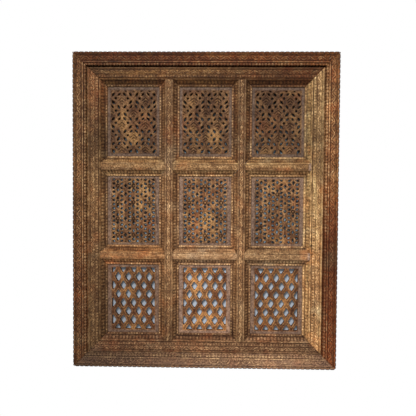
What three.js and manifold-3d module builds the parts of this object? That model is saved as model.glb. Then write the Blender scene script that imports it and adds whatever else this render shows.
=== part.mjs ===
// A carved wooden window panel: an outer frame, an inner frame set back in it, two mullions, six transoms
// and nine pierced panels. Millimetres, +Z up. The carved face looks along -Y and the back lies on y = 0.
// The origin is the middle of the back of the top board of the outer frame, where the panel is fixed up.
import * as THREE from 'three';
import Module from 'manifold-3d';
import { mergeVertices } from 'three/addons/utils/BufferGeometryUtils.js';

const wasm = await Module();
wasm.setup();

// Driving dimensions
const WIDTH = 1200;
const HEIGHT = 1432;
const OUTER_BOARD = 66; // face width of an outer frame board
const INNER_BOARD = 86; // face width of an inner frame member
const MULLION = 93; // face width of a mullion
const TRANSOM = 91; // face height of a transom
const LIGHTS = 3; // openings across, and openings up
const SLOPE = 31; // width of the sloped moulding round every opening
const FRAME_GAP = 0.3; // between the outer and the inner frame
const JOINT_GAP = 0.25; // taken off each side of a mitre

// Depths, measured forward from the back
const PANEL_BACK = 20;
const PANEL_FRONT = 40;
const PANEL_OVERLAP = 8; // how far a panel reaches behind the moulding on each side
const PANEL_GAP = 0.3;
const SHOULDER = 71.5; // top of the sloped moulding
const CUTTER_FRONT = 120; // past the front of every member
const CUTTER_BACK = -20;

// Derived places
const BORDER = OUTER_BOARD + INNER_BOARD;
const OPENING_WIDTH = (WIDTH - 2 * BORDER - (LIGHTS - 1) * MULLION) / LIGHTS;
const OPENING_HEIGHT = (HEIGHT - 2 * BORDER - (LIGHTS - 1) * TRANSOM) / LIGHTS;
const LEFT = -WIDTH / 2;
const TOP = OUTER_BOARD / 2;
const BOTTOM = TOP - HEIGHT;

const COLUMN_NAMES = ['left', 'middle', 'right'];
const ROW_NAMES = ['top', 'middle', 'bottom'];
const TRANSOM_NAMES = ['upper', 'lower'];

const columnLeft = (column) => LEFT + BORDER + column * (OPENING_WIDTH + MULLION);
const rowTop = (row) => TOP - BORDER - row * (OPENING_HEIGHT + TRANSOM);
const columnSpan = (column) => [columnLeft(column), columnLeft(column) + OPENING_WIDTH];
const rowSpan = (row) => [rowTop(row) - OPENING_HEIGHT, rowTop(row)];
const columnSpans = [0, 1, 2].map(columnSpan);
const rowSpans = [2, 1, 0].map(rowSpan); // from the bottom up

// Woods
const wood = (color) => new THREE.MeshStandardMaterial({ color, roughness: 0.72, metalness: 0 });
const darkTeak = () => wood(0x6b4930);
const brownTeak = () => wood(0x7d5c3e);
const paleTeak = () => wood(0x977550);
const latticeTeak = () => wood(0x80603f);

// Solids

function toSolid(geometry) {
  const bare = geometry.index ? geometry.toNonIndexed() : geometry.clone();
  bare.deleteAttribute('normal');
  bare.deleteAttribute('uv');
  const merged = mergeVertices(bare, 1e-4);
  const mesh = new wasm.Mesh({
    numProp: 3,
    vertProperties: new Float32Array(merged.attributes.position.array),
    triVerts: new Uint32Array(merged.index.array),
  });
  mesh.merge();
  return new wasm.Manifold(mesh);
}

function toGeometry(solid) {
  const mesh = solid.getMesh();
  const geometry = new THREE.BufferGeometry();
  geometry.setAttribute('position', new THREE.BufferAttribute(mesh.vertProperties, 3));
  geometry.setIndex(new THREE.BufferAttribute(mesh.triVerts, 1));
  return geometry;
}

const shapeOf = (points) => new THREE.Shape(points.map(([a, b]) => new THREE.Vector2(a, b)));
const flatExtrusion = (shape, depth) =>
  new THREE.ExtrudeGeometry(shape, { depth, bevelEnabled: false, steps: 1 });

// A bar along Z, whose profile is a list of [x, depth forward of the back].
function uprightBar(profile, from, to) {
  const bar = flatExtrusion(shapeOf(profile.map(([x, depth]) => [x, -depth])), to - from);
  return bar.translate(0, 0, from);
}

// A bar along X, whose profile is a list of [z, depth forward of the back].
function levelBar(profile, from, to) {
  const bar = flatExtrusion(shapeOf(profile.map(([z, depth]) => [z, -depth])), to - from);
  return bar.rotateY(-Math.PI / 2).translate(to, 0, 0);
}

// A prism through the depth of the window, whose outline is a list of [x, z].
function faceOn(shape, back, front) {
  return flatExtrusion(shape, front - back).rotateX(Math.PI / 2).translate(0, -back, 0);
}

function cutToOutline(bar, outline) {
  const cutter = faceOn(shapeOf(outline), CUTTER_BACK, CUTTER_FRONT);
  return toGeometry(toSolid(bar).intersect(toSolid(cutter)));
}

// Profiles, from the outer edge inwards, as [across, depth forward of the back]

const OUTER_PROFILE = [
  [0, 0],
  [0, 83],
  [3, 87],
  [9, 87],
  [11, 84],
  [14, 84],
  [15, 86],
  [43, 86],
  [44, 88],
  [48, 88],
  [50, 84],
  [53, 87.5],
  [60, 87.5],
  [OUTER_BOARD, 82],
  [OUTER_BOARD, 0],
];

// The sloped moulding from the back of its rebate to its shoulder, as [from the lip, depth].
const SLOPE_PROFILE = [
  [PANEL_OVERLAP + PANEL_GAP, 0],
  [PANEL_OVERLAP + PANEL_GAP, PANEL_FRONT + PANEL_GAP],
  [0, PANEL_FRONT + PANEL_GAP],
  [0, 46],
  [3, 49.5],
  [8, 49.5],
  [11, 46.5],
  [27, 65],
  [SLOPE, SHOULDER],
];

const INNER_PROFILE = [
  [FRAME_GAP, 0],
  [FRAME_GAP, 74.5],
  [7, 74.5],
  [9, 72.5],
  [36, 71.5],
  [38, 73],
  [46, 73],
  [49, 70],
  ...SLOPE_PROFILE.map(([across, depth]) => [INNER_BOARD - across, depth]).reverse(),
];

// A mullion or transom has the sloped moulding on both sides of a fillet, a carved band and a fillet.
function barProfile(width) {
  const half = [...SLOPE_PROFILE, [SLOPE + 4, SHOULDER], [SLOPE + 5.5, SHOULDER - 1.5]];
  return [...half, ...half.map(([across, depth]) => [width - across, depth]).reverse()];
}

const mirrored = (profile, edge) => profile.map(([across, depth]) => [edge - across, depth]);
const shifted = (profile, edge) => profile.map(([across, depth]) => [edge + across, depth]);

// Outlines, in the plane of the window

// The edge of a member along its openings, as [along, reach]: reach is 0 on the member's core and SLOPE at
// the lip of an opening, with a mitre at 45 degrees between the two.
function mitredEdge(spans) {
  return spans.flatMap(([start, end]) => [
    [start - SLOPE + JOINT_GAP, 0],
    [start + JOINT_GAP, SLOPE],
    [end - JOINT_GAP, SLOPE],
    [end + SLOPE - JOINT_GAP, 0],
  ]);
}

// A frame member's outline, as [along, across from the outer edge of the window].
function frameOutline(from, to, outside, spans) {
  const inner = mitredEdge(spans).slice(1, -1);
  return [
    [from + outside + JOINT_GAP, outside],
    ...inner.map(([along, reach]) => [along, BORDER - SLOPE + reach]),
    [to - outside - JOINT_GAP, outside],
  ];
}

// A mullion's or transom's outline, as [along, across from its middle].
function barOutline(spans, width) {
  const core = width / 2 - SLOPE;
  const edge = mitredEdge(spans).map(([along, reach]) => [along, core + reach]);
  return [...edge, ...edge.map(([along, across]) => [along, -across]).reverse()];
}

const swapped = (points) => points.map(([a, b]) => [b, a]);

// Members

function outerFrame(add) {
  const longTop = [LEFT, LEFT + WIDTH];
  const tall = [BOTTOM, TOP];
  const board = ([from, to]) => [
    [from + JOINT_GAP, 0],
    [from + OUTER_BOARD + JOINT_GAP, OUTER_BOARD],
    [to - OUTER_BOARD - JOINT_GAP, OUTER_BOARD],
    [to - JOINT_GAP, 0],
  ];
  const level = board(longTop);
  const upright = swapped(board(tall));
  const make = {
    top: () =>
      cutToOutline(
        levelBar(mirrored(OUTER_PROFILE, TOP), ...longTop),
        level.map(([x, across]) => [x, TOP - across]),
      ),
    bottom: () =>
      cutToOutline(
        levelBar(shifted(OUTER_PROFILE, BOTTOM), ...longTop),
        level.map(([x, across]) => [x, BOTTOM + across]),
      ),
    left: () =>
      cutToOutline(
        uprightBar(shifted(OUTER_PROFILE, LEFT), ...tall),
        upright.map(([across, z]) => [LEFT + across, z]),
      ),
    right: () =>
      cutToOutline(
        uprightBar(mirrored(OUTER_PROFILE, -LEFT), ...tall),
        upright.map(([across, z]) => [-LEFT - across, z]),
      ),
  };
  for (const [side, geometry] of Object.entries(make)) {
    add(`outer_frame_${side}`, geometry(), darkTeak());
  }
}

function innerFrame(add) {
  const level = frameOutline(LEFT, -LEFT, OUTER_BOARD + FRAME_GAP, columnSpans);
  const upright = swapped(frameOutline(BOTTOM, TOP, OUTER_BOARD + FRAME_GAP, rowSpans));
  const across = [LEFT, -LEFT];
  const tall = [BOTTOM, TOP];
  add(
    'inner_frame_top',
    cutToOutline(
      levelBar(mirrored(INNER_PROFILE, TOP - OUTER_BOARD), ...across),
      level.map(([x, inward]) => [x, TOP - inward]),
    ),
    brownTeak(),
  );
  add(
    'inner_frame_bottom',
    cutToOutline(
      levelBar(shifted(INNER_PROFILE, BOTTOM + OUTER_BOARD), ...across),
      level.map(([x, inward]) => [x, BOTTOM + inward]),
    ),
    brownTeak(),
  );
  add(
    'inner_frame_left',
    cutToOutline(
      uprightBar(shifted(INNER_PROFILE, LEFT + OUTER_BOARD), ...tall),
      upright.map(([inward, z]) => [LEFT + inward, z]),
    ),
    brownTeak(),
  );
  add(
    'inner_frame_right',
    cutToOutline(
      uprightBar(mirrored(INNER_PROFILE, -LEFT - OUTER_BOARD), ...tall),
      upright.map(([inward, z]) => [-LEFT - inward, z]),
    ),
    paleTeak(),
  );
}

function mullions(add) {
  ['left', 'right'].forEach((side, column) => {
    const edge = columnSpan(column)[1];
    const middle = edge + MULLION / 2;
    const outline = swapped(barOutline(rowSpans, MULLION)).map(([across, z]) => [middle + across, z]);
    const bar = uprightBar(shifted(barProfile(MULLION), edge), BOTTOM, TOP);
    add(`mullion_${side}`, cutToOutline(bar, outline), brownTeak());
  });
}

function transoms(add) {
  TRANSOM_NAMES.forEach((level, row) => {
    const edge = rowTop(row + 1);
    const middle = edge + TRANSOM / 2;
    COLUMN_NAMES.forEach((side, column) => {
      const outline = barOutline([columnSpan(column)], TRANSOM).map(([x, across]) => [x, middle + across]);
      const bar = levelBar(shifted(barProfile(TRANSOM), edge), LEFT, -LEFT);
      add(`transom_${level}_${side}`, cutToOutline(bar, outline), brownTeak());
    });
  });
}

// Pierced panels. A hole is a list of [x, z] from the middle of its panel.

const inField = (points, field) => points.every(([x, z]) => Math.abs(x) <= field[0] && Math.abs(z) <= field[1]);
const range = (count) => Array.from({ length: count }, (_, index) => index);

// A convex outline cut off where it passes the edges of the field.
function clipped(points, [halfWidth, halfHeight]) {
  const edges = [
    ([x]) => halfWidth - x,
    ([x]) => halfWidth + x,
    ([, z]) => halfHeight - z,
    ([, z]) => halfHeight + z,
  ];
  return edges.reduce((outline, inside) => {
    const kept = [];
    outline.forEach((point, index) => {
      const next = outline[(index + 1) % outline.length];
      const [here, there] = [inside(point), inside(next)];
      if (here >= 0) kept.push(point);
      if (here * there < 0) {
        const share = here / (here - there);
        kept.push([point[0] + share * (next[0] - point[0]), point[1] + share * (next[1] - point[1])]);
      }
    });
    return kept;
  }, points);
}

const lozenge = (x, z, halfWidth, halfHeight) => [
  [x, z + halfHeight],
  [x - halfWidth, z],
  [x, z - halfHeight],
  [x + halfWidth, z],
];

// Net of upright lozenges: rows of whole ones, with half ones at the edges of the field.
const NET = { pitch: 47.4, row: 40, rows: 8, hole: [13, 21], field: [94.8, 140] };
function netHoles(firstRowOffset) {
  const holes = [];
  for (const row of range(NET.rows)) {
    const z = ((NET.rows - 1) / 2 - row) * NET.row;
    const between = (row + firstRowOffset) % 2 === 1;
    const count = between ? 4 : 5;
    for (const index of range(count)) {
      const x = (index - (count - 1) / 2) * NET.pitch;
      holes.push(clipped(lozenge(x, z, ...NET.hole), NET.field));
    }
  }
  return holes;
}

// Diagonal straps with medallions between them: four slots round each crossing of the straps and a pair
// over each medallion.
const STRAP = {
  pitch: [54.3, 56],
  firstRow: 163,
  rows: 6,
  field: [104, 142],
  radial: { at: [14.7, 17.5], half: [8.5, 4.2] },
  roof: { at: [12, 18.5], half: [7, 3.6] },
};
function slot(x, z, angle, [halfLength, halfWidth]) {
  const [c, s] = [Math.cos(angle), Math.sin(angle)];
  return lozenge(0, 0, halfLength, halfWidth * 1.25).map(([a, b]) => [x + a * c - b * s, z + a * s + b * c]);
}
function strapHoles() {
  const holes = [];
  for (const row of range(STRAP.rows)) {
    const z = STRAP.firstRow - row * STRAP.pitch[1];
    for (const column of range(5)) {
      const x = (column - 2) * STRAP.pitch[0];
      const crossing = (row + column) % 2 === 1;
      if (crossing) {
        for (const [sx, sz] of [[1, 1], [-1, 1], [-1, -1], [1, -1]]) {
          const [dx, dz] = [sx * STRAP.radial.at[0], sz * STRAP.radial.at[1]];
          holes.push(slot(x + dx, z + dz, Math.atan2(dz, dx), STRAP.radial.half));
        }
      } else {
        for (const side of [-1, 1]) {
          const [dx, dz] = [side * STRAP.roof.at[0], STRAP.roof.at[1]];
          holes.push(slot(x + dx, z + dz, Math.atan2(dz, dx) + Math.PI / 2, STRAP.roof.half));
        }
      }
    }
  }
  return holes.filter((hole) => inField(hole, STRAP.field));
}

// Net of six-armed stars: an upright lozenge between every star and the one above it. The slanting holes
// between neighbouring columns are left solid here.
const STAR = { column: 36.5, step: 37.8, columns: 5, rows: 4, hole: [6.5, 10], field: [100, 146] };
function starHoles() {
  const holes = [];
  for (const column of range(STAR.columns)) {
    const x = (column - (STAR.columns - 1) / 2) * STAR.column;
    const between = column % 2 === 0 ? 0.5 : 0;
    for (let step = -STAR.rows; step <= STAR.rows; step += 1) {
      holes.push(lozenge(x, (step + between) * STAR.step, ...STAR.hole));
    }
  }
  return holes.filter((hole) => inField(hole, STAR.field));
}

function panel(column, row, holes) {
  const [x, z] = [columnLeft(column) + OPENING_WIDTH / 2, rowTop(row) - OPENING_HEIGHT / 2];
  const halfWidth = OPENING_WIDTH / 2 + PANEL_OVERLAP;
  const halfHeight = OPENING_HEIGHT / 2 + PANEL_OVERLAP;
  const board = shapeOf([
    [-halfWidth, -halfHeight],
    [halfWidth, -halfHeight],
    [halfWidth, halfHeight],
    [-halfWidth, halfHeight],
  ]);
  const pierced = holes.reduce(
    (solid, hole) => solid.subtract(toSolid(faceOn(shapeOf(hole), CUTTER_BACK, CUTTER_FRONT))),
    toSolid(faceOn(board, PANEL_BACK, PANEL_FRONT)),
  );
  return toGeometry(pierced).translate(x, 0, z);
}

function panels(add) {
  const holesOf = [() => strapHoles(), () => starHoles(), (column) => netHoles(column === 2 ? 1 : 0)];
  ROW_NAMES.forEach((level, row) => {
    COLUMN_NAMES.forEach((side, column) => {
      add(`panel_${level}_${side}`, panel(column, row, holesOf[row](column)), latticeTeak());
    });
  });
}

const group = new THREE.Group();
const add = (name, geometry, material) => {
  const mesh = new THREE.Mesh(geometry, material);
  mesh.name = name;
  group.add(mesh);
};
outerFrame(add);
innerFrame(add);
mullions(add);
transoms(add);
panels(add);

export default group;
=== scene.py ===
"""A carved wooden jali window panel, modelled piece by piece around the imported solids.

Lengths in the carving functions are millimetres; meshes are in metres. The carved face looks
along -Y.
"""

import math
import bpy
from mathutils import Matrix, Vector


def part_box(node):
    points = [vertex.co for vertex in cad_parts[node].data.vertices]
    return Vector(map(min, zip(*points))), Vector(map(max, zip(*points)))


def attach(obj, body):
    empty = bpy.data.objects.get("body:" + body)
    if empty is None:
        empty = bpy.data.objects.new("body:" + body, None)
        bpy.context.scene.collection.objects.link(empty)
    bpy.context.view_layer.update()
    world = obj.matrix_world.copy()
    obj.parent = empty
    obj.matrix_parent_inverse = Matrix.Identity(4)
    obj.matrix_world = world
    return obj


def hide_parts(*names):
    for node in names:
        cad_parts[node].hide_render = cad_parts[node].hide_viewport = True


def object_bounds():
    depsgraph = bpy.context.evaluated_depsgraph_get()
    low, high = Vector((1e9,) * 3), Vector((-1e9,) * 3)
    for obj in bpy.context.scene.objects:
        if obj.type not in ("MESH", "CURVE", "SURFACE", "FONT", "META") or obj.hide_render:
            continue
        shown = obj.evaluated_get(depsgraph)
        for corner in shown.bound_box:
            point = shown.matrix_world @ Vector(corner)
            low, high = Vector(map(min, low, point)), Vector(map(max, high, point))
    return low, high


bl_info = {
    "name": "Carved Jali Window Panel",
    "version": (1, 0, 0),
    "blender": (4, 5, 0),
    "location": "3D View > Sidebar > Jali Window",
    "description": "Builds a carved window panel with two frames and nine pierced panels",
    "category": "Add Mesh",
}

import bpy
import numpy as np
from bpy.props import FloatProperty, FloatVectorProperty, PointerProperty
from bpy.types import Operator, Panel, PropertyGroup
from mathutils import Euler, Vector

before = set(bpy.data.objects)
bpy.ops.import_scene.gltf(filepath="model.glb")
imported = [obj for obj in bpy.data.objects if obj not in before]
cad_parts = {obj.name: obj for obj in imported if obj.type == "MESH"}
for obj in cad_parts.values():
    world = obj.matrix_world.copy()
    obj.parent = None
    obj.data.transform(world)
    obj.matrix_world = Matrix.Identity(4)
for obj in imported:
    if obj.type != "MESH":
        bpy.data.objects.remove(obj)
cad_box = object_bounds()

MM = 0.001
SIDES = ("top", "bottom", "left", "right")
LEVEL_SIDES = ("top", "bottom")
COLUMNS = ("left", "middle", "right")
ROWS = ("top", "middle", "bottom")

# Sizes of the joinery, in millimetres
OUTER_BOARD = 66.0
INNER_BOARD = 86.0
MULLION = 93.0
TRANSOM = 91.0
BORDER = OUTER_BOARD + INNER_BOARD
SLOPE = 31.0
SHOULDER = 71.5
FRAME_GAP = 0.3
JOINT_GAP = 0.6
PANEL_OVERLAP = 8.0
PANEL_BACK = 20.0
PANEL_FRONT = 40.0
PANEL_GAP = 0.3
CUTTER_BACK = -15.0
CUTTER_FRONT = 110.0
SAW_ALLOWANCE = 2.0  # a board is carved this much too long and then sawn to its outline
LIP_BEAD_PITCH, OUTER_BEAD_PITCH = 13.0, 14.2
STAR_WIDTH = 0.9656  # distance across between nodes of the star lattice, over the distance up
FAR_FROM_HOLES = 30.0
BACK_TILE = 26.0  # the flat back of a panel is joined into tiles of this size
BLUR_REACH = 2  # grid points to each side that dirt, painted shade and wear are weighed against
CORNER_WEAR = {  # at the start and end of each outer board
    "top": (0.6, 1.5), "bottom": (3.5, 4.5), "left": (3.5, 0.6), "right": (4.5, 1.5),
}
JAMB_HOLES = (  # nail holes in the right jamb, as (across, height, radius)
    (64, -632, 3.6), (36, -1152, 3.2), (77, -854, 4.2), (51, -836, 3.0),
)

# The wood of each piece. A board has its tint, its wear, then its tones and its redness, each
# from one end to the other: left to right, or bottom to top.
OUTER_WOOD = {
    "top": ((1.0, 0.68, 0.31), 0.75, (0.25, 0.265, 0.335, 0.425, 0.43), (0.3, 0.3, 0.3, 0.2, 0.1)),
    "bottom": ((0.83, 0.82, 0.76), 0.75, (0.33, 0.50, 1.00, 1.27, 0.95), (0.1, 0.1, 0, 0, 0.1)),
    "left": (
        (0.87, 0.83, 0.73), 0.75, (0.45, 0.46, 0.69, 0.60, 0.59, 0.47), (0.2, 0.3, 0.1, 0, 0, 0.2),
    ),
    "right": (
        (0.88, 0.83, 0.70), 0.75,
        (0.66, 0.45, 0.33, 0.95, 1.22, 0.56), (0.9, 1.0, 1.0, 0.2, 0, 0.1),
    ),
}
INNER_WOOD = {
    "top": ((0.91, 0.84, 0.64), 0.65, (0.35, 0.52, 0.52, 0.32, 0.27), (0, 0, 0, 0.2, 0.6)),
    "bottom": ((0.80, 0.85, 1.08), 0.65, (0.53, 0.75, 1.05, 1.12, 0.70), (0.2, 0, 0, 0, 0)),
    "left": ((0.85, 0.91, 0.92), 0.65, (0.53, 0.66, 0.92, 0.44, 0.66), (0, 0, 0, 0, 0.4)),
    "right": ((1.02, 1.32, 1.44), 0.9, (1.62, 1.82, 1.60, 0.84, 1.34), (0.1, 0.1, 0, 0, 0)),
}
MULLION_WOOD = (  # tint, wear and the tones of both
    (0.84, 0.88, 0.98), 0.85,
    {"left": (0.84, 1.02, 1.20, 0.78, 0.70), "right": (0.93, 1.17, 1.20, 0.74, 0.69)},
)
TRANSOM_WOOD = {  # tint and tones
    ("upper", "left"): ((0.94, 1.06, 1.10), (1.0, 0.98)),
    ("upper", "middle"): ((0.93, 1.08, 1.16), (1.10, 1.14)),
    ("upper", "right"): ((0.94, 1.06, 1.10), (1.05, 1.03)),
    ("lower", "left"): ((1.04, 1.0, 0.96), (1.05, 1.10)),
    ("lower", "middle"): ((0.91, 1.05, 1.30), (1.34, 1.44)),
    ("lower", "right"): ((0.88, 1.09, 1.38), (1.34, 1.28)),
}
PANEL_WOOD = {  # tint and the tone of each panel
    "top": ((0.96, 0.89, 0.90), (0.33, 0.35, 0.315)),
    "middle": ((0.95, 0.92, 0.99), (0.50, 0.60, 0.58)),
    "bottom": ((1.05, 0.86, 0.80), (0.45, 0.79, 0.57)),
}
# How strongly dirt and painted shade darken the recesses, on boards and on panels
BOARD_DIRT_AND_SHADE, PANEL_DIRT_AND_SHADE = 0.85, 1.0
TRANSOM_WEAR, PANEL_WEAR = 0.7, 0.75
PANEL_WARMTH = 0.5

LEFT, TOP = round(cad_box[0][0] / MM, 3), round(cad_box[1][2] / MM, 3)
RIGHT, BOTTOM = round(cad_box[1][0] / MM, 3), round(cad_box[0][2] / MM, 3)
SIDE_SPANS = {side: (LEFT, RIGHT) if side in LEVEL_SIDES else (BOTTOM, TOP) for side in SIDES}


def panel_box(row, column):
    """The corners of a panel, in millimetres."""
    low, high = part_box(f"panel_{row}_{column}")
    return low / MM, high / MM


def opening_span(row, column, axis):
    """The two ends of an opening along an axis."""
    low, high = panel_box(row, column)
    return low[axis] + PANEL_OVERLAP, high[axis] - PANEL_OVERLAP


COLUMN_SPANS = [opening_span("top", column, 0) for column in COLUMNS]
ROW_SPANS = [opening_span(row, "left", 2) for row in reversed(ROWS)]

# Profiles from the outer edge inwards, as (across, depth forward of the back)
OUTER_PROFILE = (
    (0, 0), (0, 83), (3, 87), (9, 87), (11, 84), (14, 84), (15, 86.5), (43, 86.5),
    (44, 87.8), (48, 87.8), (50, 83.5), (52.5, 87), (60.5, 87), (66, 82), (66, 0),
)
SLOPE_PROFILE = (
    (PANEL_OVERLAP + PANEL_GAP, 0), (PANEL_OVERLAP + PANEL_GAP, PANEL_FRONT + PANEL_GAP),
    (0, PANEL_FRONT + PANEL_GAP), (0, 45.5), (2.5, 49.5), (8, 49.5), (11, 45.5), (27, 65),
    (SLOPE, SHOULDER),
)
INNER_PROFILE = (
    (FRAME_GAP, 0), (FRAME_GAP, 62), (2.8, 62), (3.4, 74.3), (7.5, 74.3), (9, 72.5), (36, 71.8),
    (38, 73.2), (46, 73), (49, 68.5), (51, 68.5), (54, SHOULDER),
) + tuple((INNER_BOARD - across, depth) for across, depth in reversed(SLOPE_PROFILE))


def bar_profile(width):
    """A mullion's or transom's profile: sloped mouldings on both sides of fillets and a band."""
    half = SLOPE_PROFILE + ((SLOPE + 4, SHOULDER), (SLOPE + 5.5, SHOULDER - 0.6))
    return half + tuple((width - across, depth) for across, depth in reversed(half))


# ---------------------------------------------------------------- settings


def distance_of(name, description, default, least=0.0):
    """A length among the settings, in metres."""
    return FloatProperty(
        name=name, description=description, default=default, min=least, unit="LENGTH"
    )


class CarvingSettings(PropertyGroup):
    """Sizes of the carved ornament"""

    mesh_step: distance_of(
        "Mesh step", "Distance between mesh points along a carved board", 0.0027, 0.001
    )
    band_depth: distance_of(
        "Band depth", "How far the ground of a carved band is sunk", 0.0025
    )
    outer_vine_pitch: distance_of(
        "Outer vine pitch", "Length of one wave of the vine on the outer frame", 0.0528, 0.02
    )
    inner_vine_pitch: distance_of(
        "Inner vine pitch", "Length of one wave of the vine on the inner frame", 0.046, 0.02
    )
    mullion_vine_pitch: distance_of(
        "Mullion vine pitch", "Length of one wave of the vine on a mullion", 0.042, 0.02
    )
    ring_pitch: distance_of(
        "Transom ring pitch", "Distance between the rings carved on a transom", 0.024, 0.01
    )
    edge_nick_pitch: distance_of(
        "Edge nick pitch", "Distance between the nicks along the outer edge", 0.022, 0.01
    )


class PiercingSettings(PropertyGroup):
    """Sizes of the pierced panels"""

    mesh_step: distance_of(
        "Mesh step", "Distance between mesh points across a panel", 0.0021, 0.001
    )
    net_pitch: distance_of(
        "Net pitch", "Distance between lozenge holes in the bottom panels", 0.0474, 0.02
    )
    strap_pitch: distance_of(
        "Strap pitch", "Distance across between medallions in the top panels", 0.0543, 0.02
    )
    star_pitch: distance_of(
        "Star pitch", "Distance up between lattice nodes in the middle panels", 0.0378, 0.02
    )
    edge_rounding: distance_of(
        "Edge rounding", "How far the carved edge of a hole falls below the face", 0.004
    )


def wood_color(name, description, default):
    """A colour property of the wood finish."""
    return FloatVectorProperty(
        name=name, description=description, default=default,
        subtype="COLOR", size=3, min=0.0, max=1.0,
    )


class WoodSettings(PropertyGroup):
    """Colours of the weathered teak"""

    dark: wood_color("Dark figure", "Dark figure in the wood", (0.095, 0.042, 0.016))
    middle: wood_color("Middle tone", "Wood between dark and light figure", (0.185, 0.094, 0.039))
    light: wood_color("Light figure", "Light figure in the wood", (0.32, 0.193, 0.092))
    worn: wood_color("Worn edges", "Edges rubbed bare", (0.43, 0.285, 0.150))
    # The colour of dirt and of painted shade in the recesses; cracks and speckle use it too
    dirt_and_shade: wood_color("Dirt", "Dirt in the recesses", (0.017, 0.008, 0.005))
    grey: wood_color("Grey patina", "Weathered, dusty wood", (0.215, 0.150, 0.118))
    orange: wood_color("Warm patch", "Rubbed wood in the panels", (0.50, 0.29, 0.105))
    red: wood_color("Red wood", "Reddened wood along some boards", (0.29, 0.074, 0.018))
    dust: wood_color("Dust", "Pale dust on the wood", (0.27, 0.19, 0.11))
    roughness: FloatProperty(
        name="Roughness", description="Mean roughness of the wood",
        default=0.66, min=0.0, max=1.0, subtype="FACTOR",
    )


class StageSettings(PropertyGroup):
    """Camera, light and floor"""

    eye: FloatVectorProperty(
        name="Eye", description="Place of the camera",
        default=(0.0899, -2.7887, -0.5558), subtype="XYZ", unit="LENGTH",
    )
    turn: FloatVectorProperty(
        name="Turn", description="Pitch down, roll and yaw of the camera",
        default=(math.radians(2.352), math.radians(-0.373), math.radians(1.61)), subtype="EULER",
    )
    lens: FloatProperty(
        name="Lens", description="Focal length in millimetres", default=51.92, min=10.0
    )
    key_power: FloatProperty(
        name="Key power", description="Power of the key light in watts", default=247.0, min=0.0
    )
    sky: FloatProperty(
        name="Sky", description="Strength of the surrounding light", default=0.40, min=0.0
    )
    floor_height: FloatProperty(
        name="Floor height", description="Height of the floor below the hung panel",
        default=-2.45, unit="LENGTH",
    )


# ---------------------------------------------------------------- carving


def smooth(value, low, high):
    """0 below low, 1 above high and a smooth rise between."""
    t = np.clip((value - low) / (high - low), 0, 1)
    return t * t * (3 - 2 * t)


def window(value, low, high, soft=0.6):
    """1 between low and high, with soft ends."""
    return smooth(value, low - soft, low + soft) * (1 - smooth(value, high - soft, high + soft))


def from_nearest(along, pitch):
    """Signed distance from the nearest multiple of the pitch."""
    return along - np.round(along / pitch) * pitch


def oval(x, y, half_x, half_y):
    """A rounded boss, 1 at its middle and 0 from its edge outwards."""
    return np.sqrt(np.clip(1 - (x / half_x) ** 2 - (y / half_y) ** 2, 0, 1))


def lobes(x, y, shapes):
    """The highest of several leaning oval bosses, each (x, y, half across, half along, lean)."""
    height = np.zeros(np.broadcast(x, y).shape)
    for cx, cy, a, b, lean in shapes:
        c, s = math.cos(lean), math.sin(lean)
        turned = c * (x - cx) + s * (y - cy), c * (y - cy) - s * (x - cx)
        height = np.maximum(height, oval(*turned, a, b))
    return height


def raised_line(gap, half, strength=1.25):
    """A flat-topped ridge along a line, at a distance from the line."""
    return np.clip(strength * oval(gap, 0, half, 1), 0, 1)


def sunk(across, half):
    """1 over the ground of a band and 0 outside it."""
    return 1 - smooth(np.abs(across), half - 0.9, half + 0.5)


def wander(seed, along):
    """The small unevenness of spacing in hand-set carving."""
    phases = np.random.default_rng(seed).uniform(0, 2 * math.pi, 3)
    waves = zip((1.2, 0.7, 0.4), (230.0, 71.0, 29.0), phases)
    return sum(
        size * np.sin(2 * math.pi * along / length + phase) for size, length, phase in waves
    )


TREFOIL = (
    (0, -2.5, 1.7, 5.5, 0), (0, 5.0, 3.2, 7.0, 0),
    (6.8, 6.6, 2.8, 5.6, -0.65), (-6.8, 6.6, 2.8, 5.6, 0.65),
)
HUSK = ((0, 0.5, 3.6, 5.4, 0), (5.6, 4.6, 2.4, 5.0, -1.0), (-5.6, 4.6, 2.4, 5.0, 1.0))


def vine_band(across, along, half, pitch, swing, depth):
    """A sunk band with a running vine, trefoils in its bends to one side and husks to the other."""
    scale = half / 13.5
    turn = 2 * math.pi / pitch
    stem_line = swing * np.sin(turn * along)
    steepness = swing * turn * np.cos(turn * along)
    from_stem = (across - stem_line) / np.sqrt(1 + steepness**2)
    height = raised_line(from_stem, 2.7 * math.sqrt(scale))
    bend = np.floor(along / (pitch / 2))
    x = (along - (bend + 0.5) * pitch / 2) / scale
    outward = np.where(bend % 2 == 0, -1.0, 1.0)
    y = across * outward / scale
    leaf = np.where(outward < 0, lobes(x, y, TREFOIL), lobes(x, y, HUSK))
    height = np.maximum(height, leaf)
    eye = oval(x, y - 9.6, 2.7, 2.7) * (outward > 0)
    return sunk(across, half) * (depth * (height - 1) - 1.4 * eye)


def arch_band(across, along, half, pitch, depth):
    """A sunk band with a row of round arches, each over a leaf, and a drilled eye between them."""
    x = from_nearest(along, pitch)
    y = half - across
    height = raised_line(np.hypot(x, y * 0.92) - (pitch / 2 - 3.2), 2.6, 1.2)
    height = np.maximum(height, raised_line(np.hypot(x, y) - 11, 1.9, 1.2))
    height = np.maximum(height, oval(x, y - 3, 3.2, 6.5))
    eye = oval(np.abs(x) - pitch / 2, y - 2 * half + 6, 2.6, 2.6)
    return sunk(across, half) * (depth * (height - 1) - 1.2 * eye)


def ring_band(across, along, half, pitch, depth):
    """A sunk band with a row of rings, each round a bead, joined by leaves."""
    x = from_nearest(along, pitch)
    height = raised_line(np.hypot(x, across) - (half - 3.4), 2.1)
    height = np.maximum(height, oval(x, across, 3.0, 3.0))
    leaf_pair = (0, 7.2, 2.2, 3.8, 0), (0, 0, 2.0, 2.6, 0)
    leaves = lobes(np.abs(x) - pitch / 2, np.abs(across), leaf_pair)
    return sunk(across, half) * depth * (np.maximum(height, leaves) - 1)


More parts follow.
